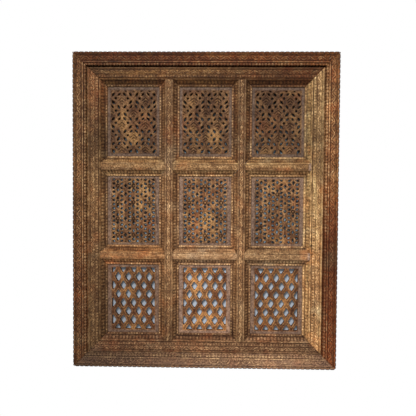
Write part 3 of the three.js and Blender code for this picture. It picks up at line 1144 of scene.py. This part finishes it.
def drawn_onto_edges(x, z, holes, field, step):
    """Moves points onto the edge of the nearest hole, down the slope of the distance to it."""
    def away(px, pz):
        return nearest_hole(holes, px, pz, field)

    for _ in range(4):
        slope_x = (away(x + 0.05, z) - away(x - 0.05, z)) / 0.1
        slope_z = (away(x, z + 0.05) - away(x, z - 0.05)) / 0.1
        move = away(x, z) / np.maximum(slope_x**2 + slope_z**2, 0.3)
        x = x - np.clip(move * slope_x, -0.7 * step, 0.7 * step)
        z = z - np.clip(move * slope_z, -0.7 * step, 0.7 * step)
    return x, z


def thicken(mesh):
    """Gives a pierced face its thickness and flat back, and tells which vertices lie there."""
    bpy.ops.object.mode_set(mode="EDIT")
    bpy.ops.mesh.select_mode(type="FACE")
    bpy.ops.mesh.select_all(action="SELECT")
    bpy.ops.mesh.extrude_region_move(TRANSFORM_OT_translate={"value": (0, 0.001, 0)})
    bpy.ops.transform.resize(value=(1, 0, 1), center_override=(0, -PANEL_BACK * MM, 0))
    bpy.ops.mesh.dissolve_limited(angle_limit=0.01, delimit={"MATERIAL"})
    turn_faces_outwards()
    bpy.ops.object.mode_set(mode="OBJECT")
    mesh.polygons.foreach_set("material_index", np.zeros(len(mesh.polygons), np.int32))
    return coordinates(mesh)[:, 1] > -(PANEL_BACK + 0.5) * MM


def pierced_panel(row, column, seed):
    """One panel, with its holes cut through and its face carved, and how much it is margin."""
    sizes = bpy.context.scene.jali_piercing
    make_holes, make_relief, field = PATTERNS[row]
    holes = make_holes(column, sizes, np.random.default_rng(seed))
    low, high = panel_box(row, column)
    width, _, height = high - low
    step = sizes.mesh_step / MM
    shape = round(height / step) + 1, round(width / step) + 1
    x, z = np.meshgrid(
        np.linspace(-width / 2, width / 2, shape[1]), np.linspace(-height / 2, height / 2, shape[0])
    )
    x, z = x.ravel(), z.ravel()

    # The nearer end of every grid line that crosses a hole's edge is drawn onto the edge
    distance = nearest_hole(holes, x, z, field)
    on_edge = crossing_ends(distance.reshape(shape), 0.25 * step).ravel()
    x[on_edge], z[on_edge] = drawn_onto_edges(x[on_edge], z[on_edge], holes, field, step)
    distance = np.where(on_edge, 0.0, distance)

    # Relief, and the dirt, painted shade and wear that follow from it
    cut, dark_marks = make_relief(x, z, distance, sizes, column)
    edge = past_field(x, z, field)
    within = 1 - smooth(edge, -1.5, 1.0)
    cut, dark_marks = cut * within - 1.1 * window(edge, 1.5, 3.0, 0.8), dark_marks * within
    cut = cut + 0.12 * wander(seed, x + 2.3 * z)
    relief = np.where(distance < 0, -5.0, cut).reshape(shape)
    dirt_and_shade, wear = (values.ravel() for values in dirt_shade_and_wear(relief))
    dirt_and_shade = np.clip(np.maximum(dirt_and_shade, 0.95 * dark_marks) + np.minimum(dark_marks, 0), 0, 1)
    # Painted shade along the edges of the holes
    dirt_and_shade = np.where(on_edge, np.maximum(0.35, dirt_and_shade), dirt_and_shade)
    # The studs' middles painted light, partly wear and partly a painted highlight
    wear = np.maximum(wear, dark_marks < -1) * (distance > 0.5)

    middle = (low + high) / 2
    depth = PANEL_FRONT + np.minimum(cut, 2.5)
    piece = grid(f"pierced_{row}_{column}", shape[1] - 1, shape[0] - 1)
    mesh = piece.data
    place_vertices(mesh, np.stack([middle[0] + x, -depth, middle[2] + z], axis=1) * MM)
    rubbed, margin = rubbed_patch(row, column, x, z), smooth(edge, -1, 6)
    names = ("dirt_and_shade", "wear", "margin", "rubbed", "from_hole")
    for name, values in zip(names, (dirt_and_shade, wear, margin, rubbed, distance)):
        paint(mesh, name, values)
    take_out_holes(mesh, middle, holes, field)
    at_back = thicken(mesh)
    # Painted shade on the back and down the walls of the holes
    paint(mesh, "dirt_and_shade", np.where(at_back, 0.75, painted(mesh, "dirt_and_shade")))
    return piece, painted(mesh, "margin") * ~at_back


def rubbed_patch(row, column, x, z):
    """How far the wood is rubbed to a warm colour at each place on a panel."""
    patches = {  # as (x, z, half width, half height) from the middle of the panel
        ("middle", "left"): ((46, 100, 30, 50), (28, 30, 20, 55)),
        ("middle", "middle"): ((10, -40, 40, 50),),
        ("bottom", "left"): (
            (-28, 28, 40, 38), (-50, 85, 10, 80), (10, -136, 80, 12), (30, -60, 12, 60),
        ),
        ("bottom", "middle"): ((-35, 60, 40, 60), (10, -90, 70, 40)),
        ("bottom", "right"): ((30, -20, 40, 50),),
        ("top", "left"): ((0, -70, 45, 40), (-45, 10, 25, 60)),
        ("top", "middle"): ((40, -60, 40, 40),),
    }
    amount = np.zeros_like(x)
    for cx, cz, half_x, half_z in patches.get((row, column), ()):
        away = np.hypot((x - cx) / half_x, (z - cz) / half_z)
        amount = np.maximum(amount, 1 - smooth(away, 0.4, 1.1))
    return amount


# ---------------------------------------------------------------- operators


def side_place(side, outline, offset=0.0):
    """Puts a frame member on its side: how (across, depth, along) is placed, and its outline."""
    places = {
        "top": (lambda a, d, s: (s, -d, TOP - offset - a), [(s, TOP - a) for s, a in outline]),
        "bottom": (
            lambda a, d, s: (s, -d, BOTTOM + offset + a), [(s, BOTTOM + a) for s, a in outline],
        ),
        "left": (lambda a, d, s: (LEFT + offset + a, -d, s), [(LEFT + a, s) for s, a in outline]),
        "right": (
            lambda a, d, s: (RIGHT - offset - a, -d, s), [(RIGHT - a, s) for s, a in outline],
        ),
    }
    return places[side]


def finish_board(piece, side, kind, looks, grey=0.0):
    """Gives a frame member its own wood, with tones that change along it."""
    tint, wearing, tones, reds = looks
    grain, axis = ("X", 0) if side in LEVEL_SIDES else ("Z", 2)
    wood = teak(f"{kind}_teak_{side}", grain, tint, BOARD_DIRT_AND_SHADE, wearing)
    tone, red = fade(piece, axis, tones), fade(piece, axis, reds)
    finish_piece(piece, f"{kind}_frame_{side}", wood, tone, grey, red)


class JALI_OT_outer_frame(Operator):
    """Carves the four mitred boards of the outer frame"""

    bl_idname = "jali.outer_frame"
    bl_label = "Outer Frame"

    def execute(self, context):
        sizes = context.scene.jali_carving
        for seed, side in enumerate(SIDES, 11):
            start, end = SIDE_SPANS[side]
            place, outline = side_place(side, board_outline(start, end, *CORNER_WEAR[side]))
            piece = carved_bar(
                f"outer_board_{side}", OUTER_PROFILE, start - SAW_ALLOWANCE, end + SAW_ALLOWANCE,
                place, outer_carving(side, seed, sizes), sizes.mesh_step / MM, 0.95,
            )
            cut_to_outline(piece, outline)
            grey = 0.35 if side == "bottom" else 0.0
            finish_board(piece, side, "outer", OUTER_WOOD[side], grey)
        return {"FINISHED"}


class JALI_OT_inner_frame(Operator):
    """Carves the four members of the inner frame, with the sloped moulding round the openings"""

    bl_idname = "jali.inner_frame"
    bl_label = "Inner Frame"

    def execute(self, context):
        sizes = context.scene.jali_carving
        for seed, side in enumerate(SIDES, 21):
            start, end = SIDE_SPANS[side]
            spans = COLUMN_SPANS if side in LEVEL_SIDES else ROW_SPANS
            place, outline = side_place(side, frame_outline(start, end, spans), OUTER_BOARD)
            inset = OUTER_BOARD - SAW_ALLOWANCE
            piece = carved_bar(
                f"inner_board_{side}", INNER_PROFILE, start + inset, end - inset, place,
                inner_carving(side, seed, sizes, spans), sizes.mesh_step / MM,
            )
            cut_to_outline(piece, outline)
            finish_board(piece, side, "inner", INNER_WOOD[side])
        return {"FINISHED"}


class JALI_OT_mullions(Operator):
    """Carves the two full-height mullions"""

    bl_idname = "jali.mullions"
    bl_label = "Mullions"

    def execute(self, context):
        sizes = context.scene.jali_carving
        tint, wearing, tones = MULLION_WOOD
        wood = teak("mullion_teak", "Z", tint, BOARD_DIRT_AND_SHADE, wearing)
        outline = bar_outline(ROW_SPANS, MULLION)
        start, end = ROW_SPANS[0][0] - SLOPE - 1, ROW_SPANS[-1][1] + SLOPE + 1
        for seed, (side, left_span) in enumerate(zip(("left", "right"), COLUMN_SPANS), 31):
            left = left_span[1]
            piece = carved_bar(
                f"carved_mullion_{side}", bar_profile(MULLION), start, end,
                lambda a, d, s: (left + a, -d, s), mullion_carving(seed, sizes),
                sizes.mesh_step / MM,
            )
            cut_to_outline(piece, [(left + MULLION / 2 + a, s) for s, a in outline])
            tone = fade(piece, 2, tones[side])
            finish_piece(piece, f"mullion_{side}", wood, tone)
        return {"FINISHED"}


class JALI_OT_transoms(Operator):
    """Carves the six transoms between the mullions and the jambs"""

    bl_idname = "jali.transoms"
    bl_label = "Transoms"

    def execute(self, context):
        sizes = context.scene.jali_carving
        rows = zip(("upper", "lower"), reversed(ROW_SPANS[:2]))
        places = [(row, span[1] + TRANSOM, i) for row, span in rows for i in range(len(COLUMNS))]
        for seed, (row, top, index) in enumerate(places, 41):
            column, (start, end) = COLUMNS[index], COLUMN_SPANS[index]
            reach = SLOPE + 1
            piece = carved_bar(
                f"carved_transom_{row}_{column}", bar_profile(TRANSOM), start - reach, end + reach,
                lambda a, d, s: (s, -d, top - a), transom_carving(row, seed, sizes, (start, end)),
                sizes.mesh_step / MM,
            )
            middle = top - TRANSOM / 2
            outline = bar_outline([(start, end)], TRANSOM)
            cut_to_outline(piece, [(s, middle + a) for s, a in outline])
            tint, tones = TRANSOM_WOOD[row, column]
            wood = teak(f"transom_teak_{row}_{column}", "X", tint, BOARD_DIRT_AND_SHADE, TRANSOM_WEAR)
            grey = 0.0
            if column == "right":
                x, _, z = (coordinates(piece.data) / MM).T
                grey = 0.85 * smooth(x, end + 17, end + 21) * (np.abs(z - middle) < 17)
            tone = fade(piece, 0, tones)
            finish_piece(piece, f"transom_{row}_{column}", wood, tone, grey)
        return {"FINISHED"}


def pierce_row(row, first_seed):
    """Makes the three panels of a row."""
    tint, tones = PANEL_WOOD[row]
    wood = teak(f"panel_teak_{row}", "Z", tint, PANEL_DIRT_AND_SHADE, PANEL_WEAR, PANEL_WARMTH)
    for seed, (column, tone) in enumerate(zip(COLUMNS, tones), first_seed):
        piece, margin = pierced_panel(row, column, seed)
        finish_piece(
            piece, f"panel_{row}_{column}", wood, tone, 0.75 * margin
        )
    return {"FINISHED"}


class JALI_OT_top_panels(Operator):
    """Pierces the three top panels, with medallions between crossings"""

    bl_idname = "jali.top_panels"
    bl_label = "Top Panels"

    def execute(self, context):
        return pierce_row("top", 51)


class JALI_OT_middle_panels(Operator):
    """Pierces the three middle panels, with studs in a star lattice"""

    bl_idname = "jali.middle_panels"
    bl_label = "Middle Panels"

    def execute(self, context):
        return pierce_row("middle", 61)


class JALI_OT_bottom_panels(Operator):
    """Pierces the three bottom panels, with a net of lozenges"""

    bl_idname = "jali.bottom_panels"
    bl_label = "Bottom Panels"

    def execute(self, context):
        return pierce_row("bottom", 71)


class JALI_OT_stage(Operator):
    """Sets the camera, the soft light, the pale floor and the card of painted shade and glow behind
    the openings
    """

    bl_idname = "jali.stage"
    bl_label = "Stage"

    def execute(self, context):
        stage = context.scene.jali_stage
        camera = bpy.data.objects.new("camera", bpy.data.cameras.new("camera"))
        context.collection.objects.link(camera)
        camera.location = stage.eye
        pitch, roll, yaw = stage.turn
        camera.rotation_euler = Euler((math.pi / 2 - pitch, roll, yaw))
        camera.data.lens, camera.data.sensor_width = stage.lens, 36.0
        context.scene.camera = camera
        middle, side, pale = (0, 0, -0.65), (0.6, 0, -0.7), (1.0, 0.98, 0.95)
        key_place, key_color = (-0.42, -3.3, 0.95), (1.0, 0.96, 0.90)
        add_area_light("key light", key_place, middle, stage.key_power, 0.85, key_color)
        add_area_light("back light", (1.8, 3.2, 0.9), middle, 90.0, 2.5, pale)
        add_area_light("side light", (3.0, 0.9, 0.1), side, 70.0, 1.6, pale)
        light_sky(context.scene, stage.sky)
        add_floor(stage.floor_height)
        add_shade_card()
        context.scene.view_settings.view_transform = "Standard"
        return {"FINISHED"}


def add_area_light(name, place, target, power, size, color):
    """A square soft light that looks at a point."""
    light = bpy.data.lights.new(name, "AREA")
    light.energy, light.size, light.color = power, size, color
    lamp = bpy.data.objects.new(name, light)
    bpy.context.collection.objects.link(lamp)
    lamp.location = place
    lamp.rotation_euler = (Vector(target) - Vector(place)).to_track_quat("-Z", "Y").to_euler()


def light_sky(scene, strength):
    """A white surround that lights the panel softly."""
    world = bpy.data.worlds.new("white surround")
    world.use_nodes = True
    scene.world = world
    w = Wiring(world.node_tree)
    seen = world.node_tree.nodes["Background"]
    soft = w.add("ShaderNodeBackground")
    for node, color, amount in ((seen, (1, 1, 1, 1), 1.0), (soft, (1.0, 0.985, 0.96, 1), strength)):
        node.inputs["Color"].default_value = color
        node.inputs["Strength"].default_value = amount
    path = w.add("ShaderNodeLightPath").outputs["Is Camera Ray"]
    surface = w.blended(path, soft.outputs[0], seen.outputs[0])
    w.join(surface, world.node_tree.nodes["World Output"].inputs["Surface"])


def add_floor(height):
    """A round pale floor well below the panel."""
    deselect_all()
    bpy.ops.mesh.primitive_circle_add(
        vertices=96, radius=1.85, fill_type="NGON", location=(0, 0, height)
    )
    floor = bpy.context.object
    floor.name = "pale_floor"
    material = bpy.data.materials.new("pale_floor")
    material.use_nodes = True
    shader = material.node_tree.nodes["Principled BSDF"]
    shader.inputs["Base Color"].default_value = (0.86, 0.86, 0.86, 1)
    shader.inputs["Roughness"].default_value = 0.9
    floor.data.materials.append(material)


def add_shade_card():
    """A card behind the openings, with painted shade and a painted glow, that shows only from the
    carved side.
    """
    deselect_all()
    margin = 40
    left, right = COLUMN_SPANS[0][0] - margin, COLUMN_SPANS[-1][1] + margin
    low, high = ROW_SPANS[0][0] - margin, ROW_SPANS[-1][1] + margin
    middle = ((left + right) / 2 * MM, -0.0125, (low + high) / 2 * MM)
    bpy.ops.mesh.primitive_plane_add(size=1, location=middle, rotation=(math.pi / 2, 0, 0))
    card = bpy.context.object
    card.scale = ((right - left) * MM, (high - low) * MM, 1)
    bpy.ops.object.transform_apply(location=True, rotation=True, scale=True)
    card.name = "painted_shade_card"
    card.data.materials.append(shade_card_material(left, right))


def even_grey(level):
    return (level, level, level)


def shade_card_material(left, right):
    """Bluish grey with painted shade that darkens it upwards and to the sides, and a painted glow;
    clear from behind.
    """
    material = bpy.data.materials.new("painted_shade_card")
    material.use_nodes = True
    w = Wiring(material.node_tree)
    nodes = material.node_tree.nodes
    shader = nodes["Principled BSDF"]
    shader.inputs["Roughness"].default_value = 0.95
    place = w.add("ShaderNodeTexCoord").outputs["Object"]
    parts = w.add("ShaderNodeSeparateXYZ")
    w.join(place, parts.inputs[0])
    height = w.remap(parts.outputs["Z"], ROW_SPANS[0][0] * MM, ROW_SPANS[-1][1] * MM, 0.0, 1.0)
    above_bottom_row = w.remap(height, 0.30, 0.36, 0.0, 1.0)

    # Painted shade: the card darkens from the bottom row upwards
    shade = ramp(w, height, (
        (0.0, (0.74, 0.83, 1.0)), (0.29, (0.72, 0.83, 1.0)), (0.36, (0.50, 0.64, 0.76)),
        (0.62, (0.34, 0.45, 0.52)), (0.70, (0.32, 0.44, 0.52)), (0.88, (0.08, 0.12, 0.15)),
        (1.0, (0.02, 0.03, 0.04)),
    ))
    # Painted shade broken into blotches above the bottom row
    blotches = w.noise(place, 13.0, 2.0, 0.5)
    uneven = multiplied(w, shade, blotches, ((0.38, even_grey(0.25)), (0.62, even_grey(1.0))))
    shade = w.mix(above_bottom_row, shade, uneven)
    # Painted shade towards the left and right
    along = w.remap(parts.outputs["X"], left * MM, right * MM, 0.0, 1.0)
    sides = (0.12, even_grey(0.55)), (0.50, even_grey(0.95)), (0.90, even_grey(0.78))
    shade = multiplied(w, shade, along, sides)
    w.join(w.mix(1.0, shade, even_grey(0.38), "MULTIPLY"), shader.inputs["Base Color"])

    # A painted glow, though the card is no lamp
    w.join(card_painted_glow(w, place, height, above_bottom_row), shader.inputs["Emission Color"])
    shader.inputs["Emission Strength"].default_value = 1.0
    behind = w.add("ShaderNodeNewGeometry").outputs["Backfacing"]
    clear = w.add("ShaderNodeBsdfTransparent").outputs[0]
    surface = w.blended(behind, shader.outputs[0], clear)
    w.join(surface, nodes["Material Output"].inputs["Surface"])
    return material


def card_painted_glow(w, place, height, above_bottom_row):
    """The painted glow of the card, broken into painted glints behind the upper two rows."""
    glow = ramp(w, height, (
        (0.29, (0.060, 0.068, 0.075)), (0.37, (0.22, 0.30, 0.36)), (0.62, (0.10, 0.14, 0.17)),
        (0.70, (0.10, 0.14, 0.17)), (0.86, (0.03, 0.042, 0.05)), (1.0, (0.004, 0.006, 0.007)),
    ))
    sparkle = w.noise(place, 85.0, 2.0, 0.6)
    glints = ramp(w, sparkle, ((0.47, even_grey(0.06)), (0.60, even_grey(1.0))))
    glints = w.mix(above_bottom_row, even_grey(1.0), glints)
    return w.mix(1.0, glow, glints, "MULTIPLY")


OPERATORS = (
    JALI_OT_stage,
    JALI_OT_outer_frame,
    JALI_OT_inner_frame,
    JALI_OT_mullions,
    JALI_OT_transoms,
    JALI_OT_top_panels,
    JALI_OT_middle_panels,
    JALI_OT_bottom_panels,
)


class VIEW3D_PT_jali_window(Panel):
    """Lists the pieces of the window panel and their settings"""

    bl_idname = "VIEW3D_PT_jali_window"
    bl_label = "Jali Window"
    bl_space_type = "VIEW_3D"
    bl_region_type = "UI"
    bl_category = "Jali Window"

    def draw(self, context):
        layout = self.layout
        for operator in OPERATORS:
            layout.operator(operator.bl_idname)
        for name in ("jali_carving", "jali_piercing", "jali_wood", "jali_stage"):
            group = getattr(context.scene, name)
            box = layout.box()
            for key in group.__annotations__:
                box.prop(group, key)


GROUPS = {
    "jali_carving": CarvingSettings,
    "jali_piercing": PiercingSettings,
    "jali_wood": WoodSettings,
    "jali_stage": StageSettings,
}


def register():
    for name, group in GROUPS.items():
        bpy.utils.register_class(group)
        setattr(bpy.types.Scene, name, PointerProperty(type=group))
    for operator in OPERATORS:
        bpy.utils.register_class(operator)
    bpy.utils.register_class(VIEW3D_PT_jali_window)


def unregister():
    bpy.utils.unregister_class(VIEW3D_PT_jali_window)
    for operator in reversed(OPERATORS):
        bpy.utils.unregister_class(operator)
    for name, group in reversed(GROUPS.items()):
        delattr(bpy.types.Scene, name)
        bpy.utils.unregister_class(group)


def main():
    register()
    for operator in OPERATORS:
        getattr(bpy.ops.jali, operator.bl_idname.split(".")[1])()


if __name__ == "__main__":
    main()
